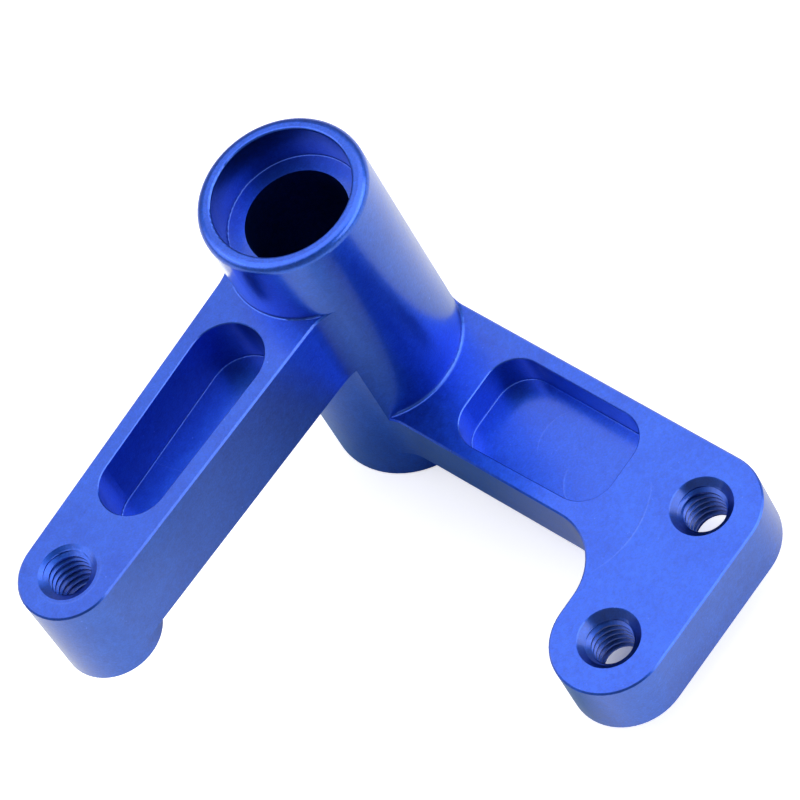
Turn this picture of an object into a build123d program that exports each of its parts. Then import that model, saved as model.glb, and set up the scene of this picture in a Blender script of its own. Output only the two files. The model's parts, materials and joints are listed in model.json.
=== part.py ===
from build123d import *
import os
from math import cos, radians, sin, tan

# Two-arm steering bellcrank, machined from one block of aluminium.
# Millimetres. The origin is the centre of the hub's lower face, +Z runs up the hub,
# +X points along the upper arm and +Y along the lower arm.

# Hub
hub_radius = 5.0
hub_length = 23.1
hub_rim_round = 0.5
hub_foot_break = 0.1
bore_radius = 3.08
seat_radius = 4.1
seat_depth = 2.75
seat_mouth_round = 0.15
seat_floor_round = 0.08

# Both arms
edge_break = 0.1
root_blend = 3.0
pocket_edge_break = 0.05
pocket_floor_round = 0.07

# Upper arm
upper_arm_bottom = 11.9
upper_arm_thickness = 5.95
upper_arm_reach = 23.2
upper_arm_root_radius = 3.55
upper_arm_tip_radius = 2.95
boss_radius = 2.95
boss_drop = 1.15

upper_pocket_start = 8.4
upper_pocket_end = 16.95
upper_pocket_start_radius = 2.33
upper_pocket_end_radius = 2.1
upper_pocket_depth = 3.6

# Lower arm and its foot
lower_arm_bottom = 2.33
lower_arm_thickness = 4.1
lower_arm_lean = 2.45
lower_arm_far_side = -4.5
lower_arm_near_side = 3.43
far_corner_radius = 3.6
foot_reach = 9.1
foot_centre = 23.53
foot_radius = 3.47
end_tilt = 0.5
foot_inner_blend = 3.75

lower_pocket_start = 7.22
lower_pocket_end = 18.0
lower_pocket_start_sides = (-3.27, 2.92)
lower_pocket_end_sides = (-2.77, 3.2)
lower_pocket_corner = 2.0
lower_pocket_depth = 2.33

# Fine fillets where the hub rises out of each arm's top face, and the sweep each one covers
upper_cove_radius = 0.1
upper_cove_sweep = (-43.0, 43.0)
lower_cove_radius = 0.2
lower_cove_sweep = (46.0, 146.0)

# M3 tapped holes, cut to the thread's major radius
thread_radius = 1.5
upper_countersink_radius = 1.74
upper_countersink_depth = 0.15
lower_countersink_radius = 1.87
lower_countersink_depth = 0.37
lower_hole_spots = ((0.0, 23.5), (9.1, 23.53))

# Levels that follow from the sizes above
upper_arm_top = upper_arm_bottom + upper_arm_thickness
lower_arm_top = lower_arm_bottom + lower_arm_thickness
boss_bottom = upper_arm_bottom - boss_drop
join_overlap = 1.0

os.makedirs("parts", exist_ok=True)


def lean_shift(distance):
    """Sideways shift of the lower arm's sides at a distance from the hub axis."""
    return distance * tan(radians(lower_arm_lean))


def blend_into_hub(lowest, highest, along):
    """Round the two inner corners where an arm's sides run out of the hub."""
    corners = vertices().filter_by_position(along, lowest, highest)
    fillet(corners, radius=root_blend)


def draw_upper_outline():
    """Hub circle with the tapering upper arm."""
    Circle(upper_arm_root_radius)
    with Locations((upper_arm_reach, 0)):
        Circle(upper_arm_tip_radius)
    make_hull()
    Circle(hub_radius)
    blend_into_hub(1.0, hub_radius, Axis.X)


def draw_lower_outline():
    """Hub circle with the leaning lower arm and its foot."""
    inner = foot_centre - foot_radius
    side_slope = lean_shift(1.0)
    end_slope = tan(radians(end_tilt))
    end_start = (
        foot_reach + foot_radius * sin(radians(end_tilt)),
        foot_centre + foot_radius * cos(radians(end_tilt)),
    )
    end_rise = end_start[1] + (end_start[0] - lower_arm_far_side) * end_slope
    far_y = end_rise / (1 + side_slope * end_slope)
    far_corner = (lower_arm_far_side + lean_shift(far_y), far_y)
    inner_corner = (lower_arm_near_side + lean_shift(inner), inner)
    with BuildLine() as rim:
        Polyline((lower_arm_near_side, 0), inner_corner, (foot_reach, inner))
        ThreePointArc(
            (foot_reach, inner),
            (foot_reach + foot_radius, foot_centre),
            end_start,
        )
        Polyline(end_start, far_corner, (lower_arm_far_side, 0), (lower_arm_near_side, 0))
    make_face(rim.edges())
    fillet(vertices().sort_by_distance(far_corner)[0], radius=far_corner_radius)
    fillet(vertices().sort_by_distance(inner_corner)[0], radius=foot_inner_blend)
    Circle(hub_radius)
    blend_into_hub(1.0, hub_radius, Axis.Y)


def draw_lower_pocket():
    """Leaning four-sided pocket with rounded corners."""
    start_left, start_right = lower_pocket_start_sides
    end_left, end_right = lower_pocket_end_sides
    with BuildLine() as rim:
        Polyline(
            (start_left, lower_pocket_start),
            (start_right, lower_pocket_start),
            (end_right, lower_pocket_end),
            (end_left, lower_pocket_end),
            (start_left, lower_pocket_start),
        )
    make_face(rim.edges())
    fillet(vertices(), radius=lower_pocket_corner)


def draw_upper_pocket():
    """Slot that narrows slightly towards the tip."""
    with Locations((upper_pocket_start, 0)):
        Circle(upper_pocket_start_radius)
    with Locations((upper_pocket_end, 0)):
        Circle(upper_pocket_end_radius)
    make_hull()


def finish_pocket():
    """Tool corner round along a pocket's floor and a very fine bevel at its mouth."""
    floor = faces().filter_by(Axis.Z).sort_by(Axis.Z)[1]
    fillet(floor.edges(), radius=pocket_floor_round)
    top = faces().filter_by(Axis.Z).sort_by(Axis.Z)[-1]
    chamfer(top.inner_wires()[0].edges(), length=pocket_edge_break)


def break_plate_edges():
    """Small bevel round a plate's top and bottom faces."""
    levels = faces().filter_by(Axis.Z).sort_by(Axis.Z)
    rims = levels[0].outer_wire().edges() + levels[-1].outer_wire().edges()
    chamfer(rims, length=edge_break)


def sweep_cove(level, radius, sweep):
    """Sliver of metal with a hollow face, swept round the hub on top of an arm."""
    start, end = sweep
    outward = (cos(radians(start)), sin(radians(start)), 0)
    sideways = (sin(radians(start)), -cos(radians(start)), 0)
    inner = hub_radius - radius
    outer = hub_radius + radius
    hollow = radius * (1 - sin(radians(45)))
    with BuildSketch(Plane(origin=(0, 0, level), x_dir=outward, z_dir=sideways)) as section:
        with BuildLine() as rim:
            Polyline((inner, radius), (inner, -radius), (outer, -radius), (outer, 0))
            ThreePointArc((outer, 0), (hub_radius + hollow, hollow), (hub_radius, radius))
            Line((hub_radius, radius), (inner, radius))
        make_face(rim.edges())
    revolve(section.sketch, axis=Axis.Z, revolution_arc=end - start)


def tapped_hole(spot, bottom, top, mouth_radius, mouth_depth):
    """Through hole for an M3 thread with a countersunk mouth at both ends."""
    with Locations((spot[0], spot[1], bottom)):
        Cylinder(
            thread_radius,
            top - bottom,
            align=(Align.CENTER, Align.CENTER, Align.MIN),
            mode=Mode.SUBTRACT,
        )
        Cone(
            mouth_radius,
            thread_radius,
            mouth_depth,
            align=(Align.CENTER, Align.CENTER, Align.MIN),
            mode=Mode.SUBTRACT,
        )
    with Locations((spot[0], spot[1], top)):
        Cone(
            thread_radius,
            mouth_radius,
            mouth_depth,
            align=(Align.CENTER, Align.CENTER, Align.MAX),
            mode=Mode.SUBTRACT,
        )


# Hub tube with a rounded rim
with BuildPart() as hub:
    with BuildSketch(Plane.XY):
        Circle(hub_radius)
    extrude(amount=hub_length)
    hub_edges = edges().filter_by(GeomType.CIRCLE).sort_by(Axis.Z)
    fillet(hub_edges[-1], radius=hub_rim_round)
    chamfer(hub_edges[0], length=hub_foot_break)

# Upper arm plate with its slot
with BuildPart() as upper_plate:
    with BuildSketch(Plane.XY.offset(upper_arm_bottom)):
        draw_upper_outline()
    extrude(amount=upper_arm_thickness)
    with BuildSketch(Plane.XY.offset(upper_arm_top)):
        draw_upper_pocket()
    extrude(amount=-upper_pocket_depth, mode=Mode.SUBTRACT)
    finish_pocket()
    break_plate_edges()

# Round boss under the upper arm's tip
with BuildPart() as boss:
    with BuildSketch(Plane.XY.offset(boss_bottom)):
        with Locations((upper_arm_reach, 0)):
            Circle(boss_radius)
    extrude(amount=boss_drop + join_overlap)
    chamfer(edges().group_by(Axis.Z)[0], length=edge_break)

# Lower arm plate with its pocket
with BuildPart() as lower_plate:
    with BuildSketch(Plane.XY.offset(lower_arm_bottom)):
        draw_lower_outline()
    extrude(amount=lower_arm_thickness)
    with BuildSketch(Plane.XY.offset(lower_arm_top)):
        draw_lower_pocket()
    extrude(amount=-lower_pocket_depth, mode=Mode.SUBTRACT)
    finish_pocket()
    break_plate_edges()

# Metal left between the arms, where the outlines cut from above and from below overlap
with BuildPart() as waist:
    waist_bottom = lower_arm_top - join_overlap
    waist_height = upper_arm_bottom + join_overlap - waist_bottom
    with BuildSketch(Plane.XY.offset(waist_bottom)):
        draw_lower_outline()
    extrude(amount=waist_height)
    with BuildSketch(Plane.XY.offset(waist_bottom)):
        draw_upper_outline()
    extrude(amount=waist_height, mode=Mode.INTERSECT)

# Room for the through bore and a bearing seat in each end of the hub
with BuildPart() as bearing_room:
    with BuildSketch(Plane.XY):
        Circle(seat_radius)
    extrude(amount=seat_depth)
    with BuildSketch(Plane.XY.offset(hub_length)):
        Circle(seat_radius)
    extrude(amount=-seat_depth)
    seat_rims = edges().filter_by(GeomType.CIRCLE).group_by(Axis.Z)
    fillet(seat_rims[1] + seat_rims[2], radius=seat_floor_round)
    with BuildSketch(Plane.XY):
        Circle(bore_radius)
    extrude(amount=hub_length)

# Fillets at the foot of the hub tube on each arm
with BuildPart() as upper_cove:
    sweep_cove(upper_arm_top, upper_cove_radius, upper_cove_sweep)
with BuildPart() as lower_cove:
    sweep_cove(lower_arm_top, lower_cove_radius, lower_cove_sweep)

with BuildPart() as bellcrank:
    add(lower_plate.part)
    add(upper_plate.part)
    add(boss.part)
    add(waist.part)
    add(hub.part)
    add(upper_cove.part)
    add(lower_cove.part)

    # Hollow the hub and round the mouths of its bearing seats
    add(bearing_room.part, mode=Mode.SUBTRACT)
    hub_ends = faces().filter_by(Axis.Z).sort_by(Axis.Z)
    seat_mouths = hub_ends[0].inner_wires()[0].edges() + hub_ends[-1].inner_wires()[0].edges()
    fillet(seat_mouths, radius=seat_mouth_round)

    # Tapped holes: one through the upper arm's tip and boss, two through the lower arm
    tapped_hole(
        (upper_arm_reach, 0),
        boss_bottom,
        upper_arm_top,
        upper_countersink_radius,
        upper_countersink_depth,
    )
    for hole_spot in lower_hole_spots:
        tapped_hole(
            hole_spot,
            lower_arm_bottom,
            lower_arm_top,
            lower_countersink_radius,
            lower_countersink_depth,
        )

bellcrank.part.label = "bellcrank"
export_step(bellcrank.part, "parts/bellcrank.step")
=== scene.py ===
import json
import math

import bpy
from mathutils import Matrix, Vector


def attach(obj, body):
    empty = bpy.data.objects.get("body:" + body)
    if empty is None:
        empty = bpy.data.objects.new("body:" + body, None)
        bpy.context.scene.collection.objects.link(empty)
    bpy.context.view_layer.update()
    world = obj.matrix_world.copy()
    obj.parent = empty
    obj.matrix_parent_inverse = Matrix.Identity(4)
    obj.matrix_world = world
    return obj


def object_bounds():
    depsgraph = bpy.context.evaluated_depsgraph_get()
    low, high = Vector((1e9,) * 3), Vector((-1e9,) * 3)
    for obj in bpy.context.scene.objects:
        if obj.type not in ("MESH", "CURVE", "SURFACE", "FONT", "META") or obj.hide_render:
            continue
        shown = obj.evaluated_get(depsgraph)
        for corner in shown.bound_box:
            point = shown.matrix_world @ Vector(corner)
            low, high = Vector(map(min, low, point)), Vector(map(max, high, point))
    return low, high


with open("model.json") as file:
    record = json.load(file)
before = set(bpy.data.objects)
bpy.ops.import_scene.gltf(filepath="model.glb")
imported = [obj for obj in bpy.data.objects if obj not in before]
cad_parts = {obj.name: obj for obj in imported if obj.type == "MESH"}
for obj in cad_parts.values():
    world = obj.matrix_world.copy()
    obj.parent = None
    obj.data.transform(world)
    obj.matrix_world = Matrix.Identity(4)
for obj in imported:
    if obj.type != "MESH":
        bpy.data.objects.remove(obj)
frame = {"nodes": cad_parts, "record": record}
CAD_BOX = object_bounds()

MM = 0.001
CRANK = frame["nodes"]["bellcrank"]
MOUNTS = {m["name"]: m for m in frame["record"]["mounts"]}
HUB_TOP = CAD_BOX[1][2]
HUB_RADIUS = -CAD_BOX[0][0]


# ---------------------------------------------------------------- node helpers

def new_material(name):
    material = bpy.data.materials.new(name)
    material.use_nodes = True
    tree = material.node_tree
    tree.nodes.clear()
    return material, tree


def node(tree, kind, settings=None, **values):
    """New node; settings are its properties, values its unlinked inputs by name."""
    made = tree.nodes.new(kind)
    for key, value in (settings or {}).items():
        setattr(made, key, value)
    for key, value in values.items():
        made.inputs[key.replace("_", " ")].default_value = value
    return made


def link(tree, start, end):
    tree.links.new(start, end)


def math_node(tree, operation, first, second=None, third=None, clamp=False):
    """Maths on sockets or plain numbers."""
    made = node(tree, "ShaderNodeMath", {"operation": operation, "use_clamp": clamp})
    for place, value in enumerate((first, second, third)):
        if value is None:
            continue
        if isinstance(value, (int, float)):
            made.inputs[place].default_value = value
        else:
            link(tree, value, made.inputs[place])
    return made.outputs[0]


def vector_node(tree, operation, vector, constant):
    """Vector maths between a socket and a constant."""
    made = node(tree, "ShaderNodeVectorMath", {"operation": operation})
    link(tree, vector, made.inputs[0])
    made.inputs[1].default_value = constant
    return made


def grey(level):
    return (level, level, level)


def ramp(tree, factor, stops):
    """Colour ramp from (position, colour) stops."""
    made = node(tree, "ShaderNodeValToRGB")
    elements = made.color_ramp.elements
    while len(elements) > 1:
        elements.remove(elements[-1])
    for place, (at, colour) in enumerate(stops):
        item = elements[0] if place == 0 else elements.new(at)
        item.position = at
        item.color = (*colour, 1.0)
    link(tree, factor, made.inputs[0])
    return made.outputs[0]


def mix_colour(tree, factor, first, second, blend="MIX"):
    """Mix of two colours, each a socket or a plain colour."""
    made = node(tree, "ShaderNodeMix", {"data_type": "RGBA", "blend_type": blend})
    sockets = (made.inputs[0], made.inputs[6], made.inputs[7])
    for socket, value in zip(sockets, (factor, first, second)):
        if hasattr(value, "is_output"):
            link(tree, value, socket)
        elif isinstance(value, (int, float)):
            socket.default_value = value
        else:
            socket.default_value = (*value, 1.0)
    return made.outputs[2]


def noise(tree, vector, scale, detail, roughness=0.5):
    made = node(tree, "ShaderNodeTexNoise", Scale=scale, Detail=detail, Roughness=roughness)
    link(tree, vector, made.inputs["Vector"])
    return made.outputs["Fac"]


def heights(tree, vector):
    """The Z part of a vector."""
    made = node(tree, "ShaderNodeSeparateXYZ")
    link(tree, vector, made.inputs[0])
    return made.outputs["Z"]


def gap_to(tree, place, spot):
    """Distance from a spot at floor level, given in mm."""
    centre = (spot[0] * MM, spot[1] * MM, 0.0)
    return vector_node(tree, "DISTANCE", place, centre).outputs["Value"]


# ------------------------------------------------------------------- material

# Blues of the level faces and of the upright ones, from the dark to the light of the mottling.
# The upright faces' pair, less blue and greener, is a painted shade by which way a face looks
FACE_DEEP = (0.012, 0.088, 0.67)
FACE_BRIGHT = (0.020, 0.126, 0.83)
SIDE_SHADED_DEEP = (0.014, 0.110, 0.60)
SIDE_SHADED_BRIGHT = (0.024, 0.150, 0.74)
BLUE_SPECK = (0.10, 0.24, 0.95)

# Noise sizes, in repeats per metre
CLOUD_SCALE = 300.0
BLOTCH_SCALE = 2200.0
SPECK_SCALE = 5200.0
GRAIN_SCALE = 8000.0
STREAK_SCALE = 2600.0

# Shares of the two noises in the mottling, and where it is fully deep and fully bright
BLOTCH_SHARE = 0.55
CLOUD_SHARE = 0.45
TONE_DEEP = 0.35
TONE_BRIGHT = 0.65

# Where a speck starts and is full, and how much of its colour shows
SPECK_STOPS = ((0.76, grey(0.0)), (0.82, grey(0.6)))

# The grain's effect on the colour: what it is multiplied by, and what is then added
GRAIN_GAIN = 0.95
GRAIN_BASE = 0.525

# Painted shade, adjusted to match the photograph: the colour is darkened by height over the
# hub's, by distance from the hub's axis over its radius, and by distance from a lower tapped
# hole's axis over its mouth's radius
HEIGHT_PAINTED_SHADE = ((0.3, grey(0.98)), (0.5, grey(0.88)), (0.8, grey(0.88)), (0.9, grey(1.0)))
BORE_PAINTED_SHADE = ((0.82, grey(0.78)), (0.84, grey(1.0)))
HOLE_PAINTED_SHADE = ((0.96, grey(0.6)), (0.99, grey(1.0)))
HOLES_WITH_PAINTED_SHADE = ("lower_arm_thread_far", "lower_arm_thread_foot")

# Countersinks at both ends of each tapped hole
UPPER_MOUTH_RADIUS = 1.74 * MM
UPPER_MOUTH_DEPTH = 0.15 * MM
LOWER_MOUTH_RADIUS = 1.87 * MM
LOWER_MOUTH_DEPTH = 0.37 * MM

# Cutter arcs: they show only where the Z part of a face's direction is over UPWARD, a face that
# looks straight up having 1. Then how they fade, how far they brighten, and their bump height
UPWARD = 0.9
MARK_FADE = 0.5
MARK_COLOUR = 0.55
MARK_HEIGHT = 0.8

STREAK_STRETCH = (1.0, 1.0, 0.12)
STREAK_HEIGHT = 0.6
BUMP_STRENGTH = 0.32
BUMP_DEPTH = 0.00002
ROUGHNESS_GAIN = 0.14
ROUGHNESS_BASE = 0.28
COAT_ROUGHNESS = 0.2
COAT_IOR = 1.5

# Faint arcs left by the cutter, in mm:
# centre, radius, line width, middle of the arc, half its length, strength
ARC_MARKS = (
    ((3.3, 15.1), 5.9, 0.07, (3.1, 21.0), 3.2, 1.0),
    ((0.5, 16.0), 2.3, 0.07, (1.9, 14.3), 1.3, 1.0),
    ((-0.6, 13.4), 2.4, 0.06, (-0.6, 11.0), 1.8, 0.8),
    ((23.2, 0.0), 1.95, 0.10, (23.9, 1.6), 2.6, 0.45),
    ((2.0, -3.0), 12.5, 0.05, (14.0, -1.2), 2.6, 0.35),
)


def falling(tree, distance, reach):
    """1 at no distance, down to 0 at the reach."""
    share = math_node(tree, "DIVIDE", distance, reach)
    return math_node(tree, "SUBTRACT", 1.0, share, clamp=True)


def arc_mark(tree, flat, centre, radius, width, near, reach):
    """1 on a thin arc of a circle in plan, fading out away from one spot."""
    off = math_node(tree, "SUBTRACT", gap_to(tree, flat, centre), radius * MM)
    line = falling(tree, math_node(tree, "ABSOLUTE", off), width * MM)
    away = falling(tree, gap_to(tree, flat, near), reach * MM)
    return math_node(tree, "MULTIPLY", line, math_node(tree, "POWER", away, MARK_FADE))


def cutter_marks(tree, flat, slope):
    """All the cutter's arcs together, on faces that look up."""
    marks = None
    for centre, radius, width, near, reach, strength in ARC_MARKS:
        mark = arc_mark(tree, flat, centre, radius, width, near, reach)
        mark = math_node(tree, "MULTIPLY", mark, strength)
        marks = mark if marks is None else math_node(tree, "MAXIMUM", marks, mark)
    return math_node(tree, "MULTIPLY", marks, math_node(tree, "GREATER_THAN", slope, UPWARD))


def mottled_blue(tree, place, slope, blotch):
    """Mottling between a deep and a bright blue, with a less blue pair on upright faces as
    painted shade.
    """
    cloud = math_node(tree, "MULTIPLY", noise(tree, place, CLOUD_SCALE, 3.0), CLOUD_SHARE)
    tone = math_node(tree, "MULTIPLY_ADD", blotch, BLOTCH_SHARE, cloud)
    faces = ramp(tree, tone, ((TONE_DEEP, FACE_DEEP), (TONE_BRIGHT, FACE_BRIGHT)))
    sides = ramp(tree, tone, ((TONE_DEEP, SIDE_SHADED_DEEP), (TONE_BRIGHT, SIDE_SHADED_BRIGHT)))
    return mix_colour(tree, math_node(tree, "ABSOLUTE", slope, clamp=True), sides, faces)


def darken_as_painted_shade(tree, colour, distance, full, stops):
    """Colour darkened as painted shade, by a distance taken as a share of another."""
    shade = ramp(tree, math_node(tree, "DIVIDE", distance, full), stops)
    return mix_colour(tree, 1.0, colour, shade, "MULTIPLY")


def paint_shade_insides(tree, colour, flat):
    """Painted shade: colour darkened inside the hub and inside the lower arm's tapped holes."""
    off_axis = node(tree, "ShaderNodeVectorMath", {"operation": "LENGTH"})
    link(tree, flat, off_axis.inputs[0])
    colour = darken_as_painted_shade(tree, colour, off_axis.outputs["Value"], HUB_RADIUS, BORE_PAINTED_SHADE)
    for name in HOLES_WITH_PAINTED_SHADE:
        x, y = MOUNTS[name]["pos_m"][:2]
        gap = vector_node(tree, "DISTANCE", flat, (x, y, 0.0)).outputs["Value"]
        colour = darken_as_painted_shade(tree, colour, gap, LOWER_MOUTH_RADIUS, HOLE_PAINTED_SHADE)
    return colour


def anodised_aluminium():
    """Satin blue anodised aluminium with cutter arcs, fine grain, a few bright specks, and
    painted shade.
    """
    material, tree = new_material("anodised_aluminium")
    coordinates = node(tree, "ShaderNodeTexCoord")
    place = coordinates.outputs["Object"]
    slope = heights(tree, coordinates.outputs["Normal"])
    flat = vector_node(tree, "MULTIPLY", place, (1.0, 1.0, 0.0)).outputs[0]
    blotch = noise(tree, place, BLOTCH_SCALE, 3.0, 0.6)
    grain = noise(tree, place, GRAIN_SCALE, 4.0, 0.7)
    marks = cutter_marks(tree, flat, slope)

    # Mottled blue; the upright faces' pair is a painted shade
    colour = mottled_blue(tree, place, slope, blotch)
    # Painted shade by height: darkest between a half and four fifths of the hub's height
    colour = darken_as_painted_shade(tree, colour, heights(tree, place), HUB_TOP, HEIGHT_PAINTED_SHADE)
    specks = ramp(tree, noise(tree, place, SPECK_SCALE, 1.0), SPECK_STOPS)
    colour = mix_colour(tree, specks, colour, BLUE_SPECK)
    marked = math_node(tree, "MULTIPLY", marks, MARK_COLOUR)
    colour = mix_colour(tree, marked, colour, BLUE_SPECK)
    grainy = math_node(tree, "MULTIPLY_ADD", grain, GRAIN_GAIN, GRAIN_BASE)
    colour = mix_colour(tree, 1.0, colour, grainy, "MULTIPLY")
    # Painted shade inside the hub and the lower tapped holes
    colour = paint_shade_insides(tree, colour, flat)

    streak_map = node(tree, "ShaderNodeMapping", Scale=STREAK_STRETCH)
    link(tree, place, streak_map.inputs["Vector"])
    streaks = noise(tree, streak_map.outputs[0], STREAK_SCALE, 3.0)
    height = math_node(tree, "MULTIPLY_ADD", streaks, STREAK_HEIGHT, grain)
    height = math_node(tree, "MULTIPLY_ADD", marks, MARK_HEIGHT, height)
    bump = node(tree, "ShaderNodeBump", Strength=BUMP_STRENGTH, Distance=BUMP_DEPTH)
    link(tree, height, bump.inputs["Height"])

    shader = node(
        tree,
        "ShaderNodeBsdfPrincipled",
        Metallic=1.0,
        Coat_Weight=1.0,
        Coat_Roughness=COAT_ROUGHNESS,
        Coat_IOR=COAT_IOR,
    )
    rough = math_node(tree, "MULTIPLY_ADD", blotch, ROUGHNESS_GAIN, ROUGHNESS_BASE)
    link(tree, colour, shader.inputs["Base Color"])
    link(tree, rough, shader.inputs["Roughness"])
    link(tree, bump.outputs[0], shader.inputs["Normal"])
    out = node(tree, "ShaderNodeOutputMaterial")
    link(tree, shader.outputs[0], out.inputs["Surface"])
    return material


ANODISED = anodised_aluminium()
CRANK.data.materials.clear()
CRANK.data.materials.append(ANODISED)


# ---------------------------------------------------------------- the threads

THREAD_PITCH = 0.5 * MM
CREST_RADIUS = 1.23 * MM
CREST_HALF_WIDTH = THREAD_PITCH / 8
ROOT_HALF_WIDTH = THREAD_PITCH * 7 / 16
EMBED = 0.02 * MM
STEPS_PER_TURN = 64
FLANK_STEPS = 4


def thread_profile(wall_radius):
    """One ridge's section as (height from its middle, radius) pairs, its back first and last."""
    flank = []
    for i in range(FLANK_STEPS + 1):
        share = i / FLANK_STEPS
        height = ROOT_HALF_WIDTH + share * (CREST_HALF_WIDTH - ROOT_HALF_WIDTH)
        flank.append((height, wall_radius + share * (CREST_RADIUS - wall_radius)))
    back = wall_radius + EMBED
    lower = [(-height, radius) for height, radius in flank]
    return [(-ROOT_HALF_WIDTH, back), *lower, *reversed(flank), (ROOT_HALF_WIDTH, back)]


def squeeze_inside(z, low, high):
    """Height kept between two faces, with what runs past them in a thin layer under each."""
    reach = 2 * THREAD_PITCH
    layer = 4 * EMBED
    for face, inward in ((low, 1), (high, -1)):
        depth = (z - face) * inward
        if depth < layer:
            depth = EMBED + 3 * EMBED * (depth + reach) / (layer + reach)
            z = face + depth * inward
    return z


def thread_mesh(name, foot, wall_radius, length, mouth_radius, mouth_depth, start_angle):
    """One closed helical ridge in a tapped hole, cut back to the line of each countersink."""
    slope = (mouth_radius - wall_radius) / mouth_depth
    low = foot.z - mouth_depth
    high = foot.z + length + mouth_depth
    run_out = THREAD_PITCH / 2
    steps = int((high - low + 2 * run_out) / THREAD_PITCH * STEPS_PER_TURN)
    profile = thread_profile(wall_radius)
    ring = len(profile)
    verts = []
    for step in range(steps + 1):
        turn = step / STEPS_PER_TURN
        angle = start_angle + turn * 2 * math.pi
        centre = low - run_out + turn * THREAD_PITCH
        for place, (offset, radius) in enumerate(profile):
            z = squeeze_inside(centre + offset, low, high)
            cone = mouth_radius - slope * min(z - low, high - z)
            is_back = place in (0, ring - 1)
            hidden = cone + (2 * EMBED if is_back else EMBED)
            radius = max(radius, hidden if cone > wall_radius or is_back else cone)
            x = foot.x + radius * math.cos(angle)
            y = foot.y + radius * math.sin(angle)
            verts.append((x, y, z))
    faces = []
    for a in range(0, steps * ring, ring):
        b = a + ring
        for j in range(ring):
            k = (j + 1) % ring
            faces.append((a + j, a + k, b + k, b + j))
    faces.append(tuple(reversed(range(ring))))
    faces.append(tuple(range(steps * ring, (steps + 1) * ring)))
    mesh = bpy.data.meshes.new(name)
    mesh.from_pydata(verts, [], faces)
    mesh.validate()
    piece = bpy.data.objects.new(name, mesh)
    bpy.context.scene.collection.objects.link(piece)
    mesh.materials.append(ANODISED)
    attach(piece, "root")


def add_thread(name, mouth_radius, mouth_depth, start_angle):
    """Thread for the mount of the same name; its stated length leaves out the countersinks."""
    mount = MOUNTS[name]
    radius = mount["dims"]["r_mm"] * MM
    length = mount["dims"]["length_mm"] * MM
    foot = Vector(mount["pos_m"]) - Vector((0, 0, length / 2))
    thread_mesh(name, foot, radius, length, mouth_radius, mouth_depth, start_angle)


add_thread("upper_arm_thread", UPPER_MOUTH_RADIUS, UPPER_MOUTH_DEPTH, 0.0)
add_thread("lower_arm_thread_far", LOWER_MOUTH_RADIUS, LOWER_MOUTH_DEPTH, 2.0)
add_thread("lower_arm_thread_foot", LOWER_MOUTH_RADIUS, LOWER_MOUTH_DEPTH, 4.0)


# ------------------------------------------------------- floor, light, camera

# The floor: spots are a centre and a reach in mm. The painted shadows and the painted glow are
# only in what the metal reflects, and the lift only in what the camera sees. The lift is weak
# under the foot, so that the floor seen through the foot's hole is grey.
FLOOR_HALF = 2.0
PAPER = (0.93, 0.93, 0.93)
SHADE_START = 0.25
HUB_PAINTED_SHADOW = ((4.0, 3.0), 16.0, (0.20, 0.36, 0.52))
FOOT_PAINTED_SHADOW = ((14.5, 19.5), 6.0, (0.30, 0.42, 0.50))
PAINTED_GLOW_SPOT = ((1.0, -18.0), 8.0)
PAINTED_GLOW_STOPS = ((0.5, grey(0.8)), (1.0, grey(0.0)))
UNDER_FOOT = ((8.4, 22.0), 3.4)
LIFT_STOPS = ((0.6, grey(0.12)), (1.0, grey(1.0)))
LIFT = 0.62

# The tent round the part, and the dim patch in it on the camera's side
TENT = (0.30, 0.31, 0.31)
DIM_PATCH = (0.08, 0.09, 0.09)
DIM_AZIMUTH = 65.0
DIM_ELEVATION = 58.0
DIM_EDGE = 0.88
DIM_FULL = 0.97

LIGHT_TARGET = Vector((0.003, 0.005, 0.008))
LIGHT_DISTANCE = 0.6

CAMERA_PLACE = Vector((0.08353, 0.17699, 0.27322))
CAMERA_RIGHT = Vector((-0.57116, 0.75655, -0.31846))
CAMERA_DOWN = Vector((0.78281, 0.38531, -0.48861))
CAMERA_AHEAD = Vector((-0.24695, -0.52837, -0.81230))
CAMERA_LENS = 261.1
CAMERA_SENSOR = 36.0


def spot_ramp(tree, place, centre, reach, stops):
    """Ramp outward from a spot on the floor, 1 being its reach."""
    return ramp(tree, math_node(tree, "DIVIDE", gap_to(tree, place, centre), reach * MM), stops)


def emission(tree, colour, strength):
    made = node(tree, "ShaderNodeEmission", Strength=strength)
    link(tree, colour, made.inputs["Color"])
    return made.outputs[0]


def add_shaders(tree, first, second):
    made = node(tree, "ShaderNodeAddShader")
    link(tree, first, made.inputs[0])
    link(tree, second, made.inputs[1])
    return made.outputs[0]


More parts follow.
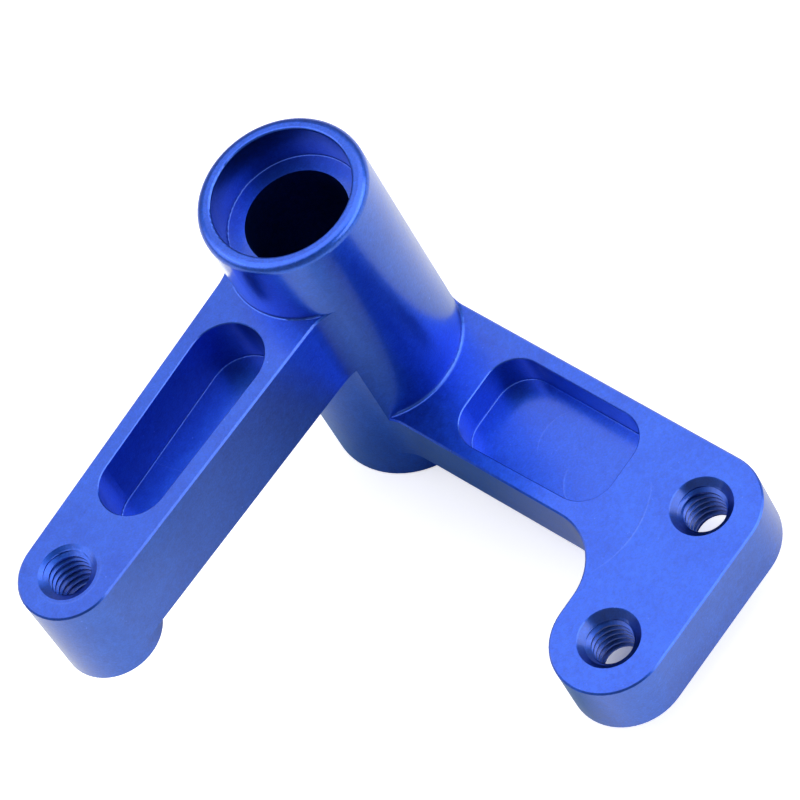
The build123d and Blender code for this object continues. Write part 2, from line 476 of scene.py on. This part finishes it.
def floor_material():
    """White paper, with one look for the camera and another, with painted shadows and a painted
    glow, in the metal's reflections.
    """
    material, tree = new_material("floor_paper")
    place = node(tree, "ShaderNodeTexCoord").outputs["Object"]
    painted_shadows = []
    # Painted shadows on the floor near the hub and the foot, seen only in reflections
    for centre, reach, tint in (HUB_PAINTED_SHADOW, FOOT_PAINTED_SHADOW):
        painted_shadows.append(spot_ramp(tree, place, centre, reach, ((SHADE_START, tint), (1.0, PAPER))))
    reflected = node(tree, "ShaderNodeBsdfDiffuse")
    link(tree, mix_colour(tree, 1.0, *painted_shadows, "DARKEN"), reflected.inputs["Color"])
    # Painted glow on the floor, seen only in reflections
    painted_glow = emission(tree, spot_ramp(tree, place, *PAINTED_GLOW_SPOT, PAINTED_GLOW_STOPS), 1.0)
    paper = node(tree, "ShaderNodeBsdfDiffuse", Color=(*PAPER, 1.0))
    lift = emission(tree, spot_ramp(tree, place, *UNDER_FOOT, LIFT_STOPS), LIFT)

    pick = node(tree, "ShaderNodeMixShader")
    link(tree, node(tree, "ShaderNodeLightPath").outputs["Is Camera Ray"], pick.inputs[0])
    link(tree, add_shaders(tree, reflected.outputs[0], painted_glow), pick.inputs[1])
    link(tree, add_shaders(tree, paper.outputs[0], lift), pick.inputs[2])
    out = node(tree, "ShaderNodeOutputMaterial")
    link(tree, pick.outputs[0], out.inputs["Surface"])
    return material


def add_floor():
    h = FLOOR_HALF
    mesh = bpy.data.meshes.new("floor")
    mesh.from_pydata([(-h, -h, 0), (h, -h, 0), (h, h, 0), (-h, h, 0)], [], [(0, 1, 2, 3)])
    floor = bpy.data.objects.new("floor", mesh)
    bpy.context.scene.collection.objects.link(floor)
    mesh.materials.append(floor_material())


def towards(azimuth, elevation):
    """Unit vector pointing at a place in the sky, from angles in degrees."""
    a, e = math.radians(azimuth), math.radians(elevation)
    return Vector((math.cos(e) * math.cos(a), math.cos(e) * math.sin(a), math.sin(e)))


def add_area(name, azimuth, elevation, size, brightness):
    """Softbox facing the part, its width level and its brightness the same at any size."""
    data = bpy.data.lights.new(name, "AREA")
    data.shape = "RECTANGLE"
    data.size, data.size_y = size
    data.energy = brightness * math.pi * data.size * data.size_y
    lamp = bpy.data.objects.new(name, data)
    bpy.context.scene.collection.objects.link(lamp)
    away = towards(azimuth, elevation)
    lamp.location = LIGHT_TARGET + away * LIGHT_DISTANCE
    lamp.rotation_euler = away.to_track_quat("Z", "Y").to_euler()


def add_camera():
    """The photograph's viewing direction, with the picture's own tilt."""
    data = bpy.data.cameras.new("camera")
    data.sensor_width = CAMERA_SENSOR
    data.lens = CAMERA_LENS
    camera = bpy.data.objects.new("camera", data)
    bpy.context.scene.collection.objects.link(camera)
    turn = Matrix((CAMERA_RIGHT, -CAMERA_DOWN, -CAMERA_AHEAD)).transposed().to_4x4()
    camera.matrix_world = Matrix.Translation(CAMERA_PLACE) @ turn
    bpy.context.scene.camera = camera


def add_world():
    """Even pale tent with a dim patch on the camera's side."""
    world = bpy.data.worlds.new("studio")
    world.use_nodes = True
    tree = world.node_tree
    background = tree.nodes["Background"]
    ray = node(tree, "ShaderNodeTexCoord").outputs["Generated"]
    middle = towards(DIM_AZIMUTH, DIM_ELEVATION)
    nearness = vector_node(tree, "DOT_PRODUCT", ray, middle).outputs["Value"]
    sky = ramp(tree, nearness, ((DIM_EDGE, TENT), (DIM_FULL, DIM_PATCH)))
    link(tree, sky, background.inputs["Color"])
    background.inputs["Strength"].default_value = 1.0
    bpy.context.scene.world = world


add_floor()
add_world()
add_area("roof_softbox", 244.0, 79.0, (1.3, 0.62), 1.33)
add_area("left_softbox", 129.0, 32.0, (0.7, 0.36), 2.4)
add_area("right_softbox", 308.0, 33.0, (0.45, 0.36), 1.15)
add_camera()
bpy.context.scene.view_settings.view_transform = "Standard"
